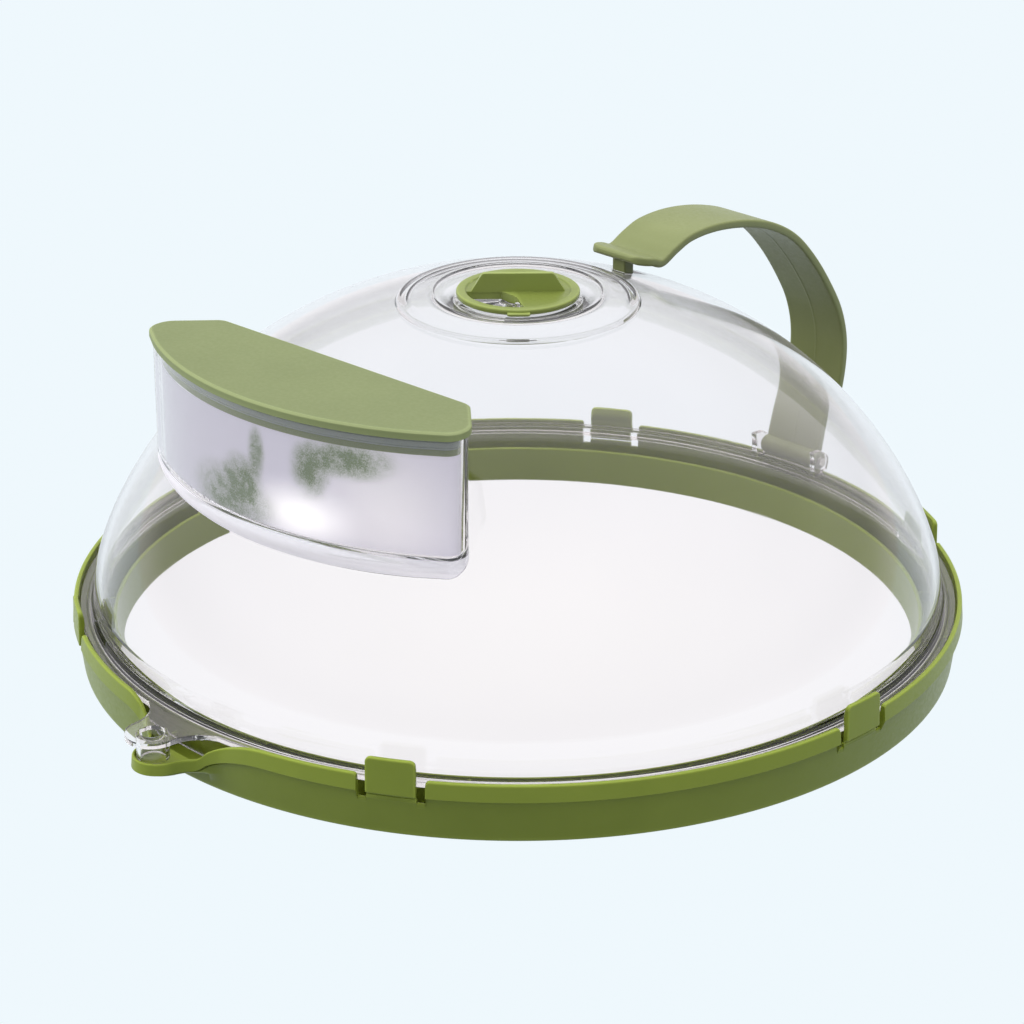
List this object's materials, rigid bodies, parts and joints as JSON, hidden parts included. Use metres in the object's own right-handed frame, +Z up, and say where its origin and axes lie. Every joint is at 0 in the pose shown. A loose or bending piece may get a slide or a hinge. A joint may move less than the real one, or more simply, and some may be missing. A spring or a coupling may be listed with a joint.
{
  "type": "microwave plate cover",
  "caption": "Clear domed plate cover in a green drip ring, with a turning steam vent, a lidded water pocket, snap clips and a strap handle.",
  "frame": {"origin": "on the ring's axis, in the plane that the ring stands on", "axes": "+Z up, -Y to the water box and the hanging lug, +Y to the strap handle"},
  "size_m": [0.265, 0.2882, 0.1146],
  "materials": {
    "leaf_plastic": "satin moulded, leaf green",
    "lid_plastic": "fine matt texture, leaf green",
    "strap_plastic": "flexible, satin, leaf green",
    "clear_plastic": "clear, polished",
    "white_plastic": "natural, satin",
    "silicone": "translucent silicone, satin"
  },
  "bodies": {
    "ring": {"base_ring": "leaf_plastic"},
    "clip_1": {"snap_clip_1": "leaf_plastic"},
    "clip_2": {"snap_clip_2": "leaf_plastic"},
    "clip_3": {"snap_clip_3": "leaf_plastic"},
    "clip_4": {"snap_clip_4": "leaf_plastic"},
    "clip_5": {"snap_clip_5": "leaf_plastic"},
    "clip_6": {"snap_clip_6": "leaf_plastic"},
    "dome": {"dome_cover": "clear_plastic", "handle_pin": "white_plastic"},
    "knob": {"vent_knob": "leaf_plastic", "vent_retainer": "white_plastic"},
    "lid": {"water_box_lid": "lid_plastic", "lid_seal": "silicone"},
    "strap": {"strap_handle": "strap_plastic"}
  },
  "joints": [
    {"name": "dome_lift", "type": "slide", "parent": "ring", "child": "dome", "axis": [0, 0, 1], "range_m": [0, 0.04]},
    {"name": "vent_turn", "type": "hinge", "parent": "dome", "child": "knob", "pos_m": [0, 0, 0.1096], "axis": [0, 0, 1], "range_deg": [0, 76]},
    {"name": "lid_lift", "type": "slide", "parent": "dome", "child": "lid", "axis": [0, 0, 1], "range_m": [0, 0.03]},
    {"name": "strap_swing", "type": "hinge", "parent": "dome", "child": "strap", "pos_m": [0, 0.1296, 0.0217], "axis": [-1, 0, 0], "range_deg": [0, 90]},
    {"name": "clip_1_flex", "type": "hinge", "parent": "ring", "child": "clip_1", "pos_m": [-0.0655, 0.11345, 0.0123], "axis": [-0.866, -0.5, 0], "range_deg": [0, 10], "stiffness_Nm_per_rad": 0.005},
    {"name": "clip_2_flex", "type": "hinge", "parent": "ring", "child": "clip_2", "pos_m": [-0.131, 0, 0.0123], "axis": [0, -1, 0], "range_deg": [0, 10], "stiffness_Nm_per_rad": 0.005},
    {"name": "clip_3_flex", "type": "hinge", "parent": "ring", "child": "clip_3", "pos_m": [-0.07135, -0.10987, 0.0123], "axis": [0.8387, -0.5446, 0], "range_deg": [0, 10], "stiffness_Nm_per_rad": 0.005},
    {"name": "clip_4_flex", "type": "hinge", "parent": "ring", "child": "clip_4", "pos_m": [0.06351, -0.11457, 0.0123], "axis": [0.8746, 0.4848, 0], "range_deg": [0, 10], "stiffness_Nm_per_rad": 0.005},
    {"name": "clip_5_flex", "type": "hinge", "parent": "ring", "child": "clip_5", "pos_m": [0.131, 0, 0.0123], "axis": [0, 1, 0], "range_deg": [0, 10], "stiffness_Nm_per_rad": 0.005},
    {"name": "clip_6_flex", "type": "hinge", "parent": "ring", "child": "clip_6", "pos_m": [0.0655, 0.11345, 0.0123], "axis": [-0.866, 0.5, 0], "range_deg": [0, 10], "stiffness_Nm_per_rad": 0.005}
  ]
}
